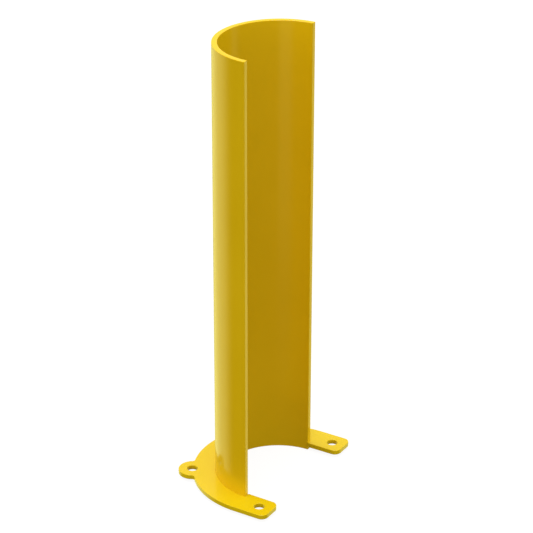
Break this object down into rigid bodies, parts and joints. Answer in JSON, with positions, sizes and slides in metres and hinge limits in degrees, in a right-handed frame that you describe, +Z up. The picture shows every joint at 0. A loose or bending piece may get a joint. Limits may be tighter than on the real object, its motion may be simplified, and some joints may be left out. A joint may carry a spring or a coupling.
{
  "type": "half-round pipe guard",
  "caption": "Half-round steel guard, open on one side: half a pipe welded upright into a notched floor plate with anchor ears and tabs.",
  "frame": {"origin": "on the pipe's axis at the floor, in the plane of the shield's two cut faces", "axes": "+Z up along the shield, -Y out of the open side, +Y towards the round side, +X to the right for someone who looks into the open side"},
  "size_m": [0.227, 0.1623, 0.6096],
  "materials": {
    "shield_coat": "glossy safety yellow powder coat",
    "plate_coat": "glossy safety yellow powder coat",
    "weld_coat": "glossy safety yellow powder coat over a rippled weld bead"
  },
  "bodies": {
    "root": {"half_pipe_shield": "shield_coat", "base_plate": "plate_coat", "weld_run_left": "weld_coat", "weld_run_right": "weld_coat"}
  },
  "joints": []
}
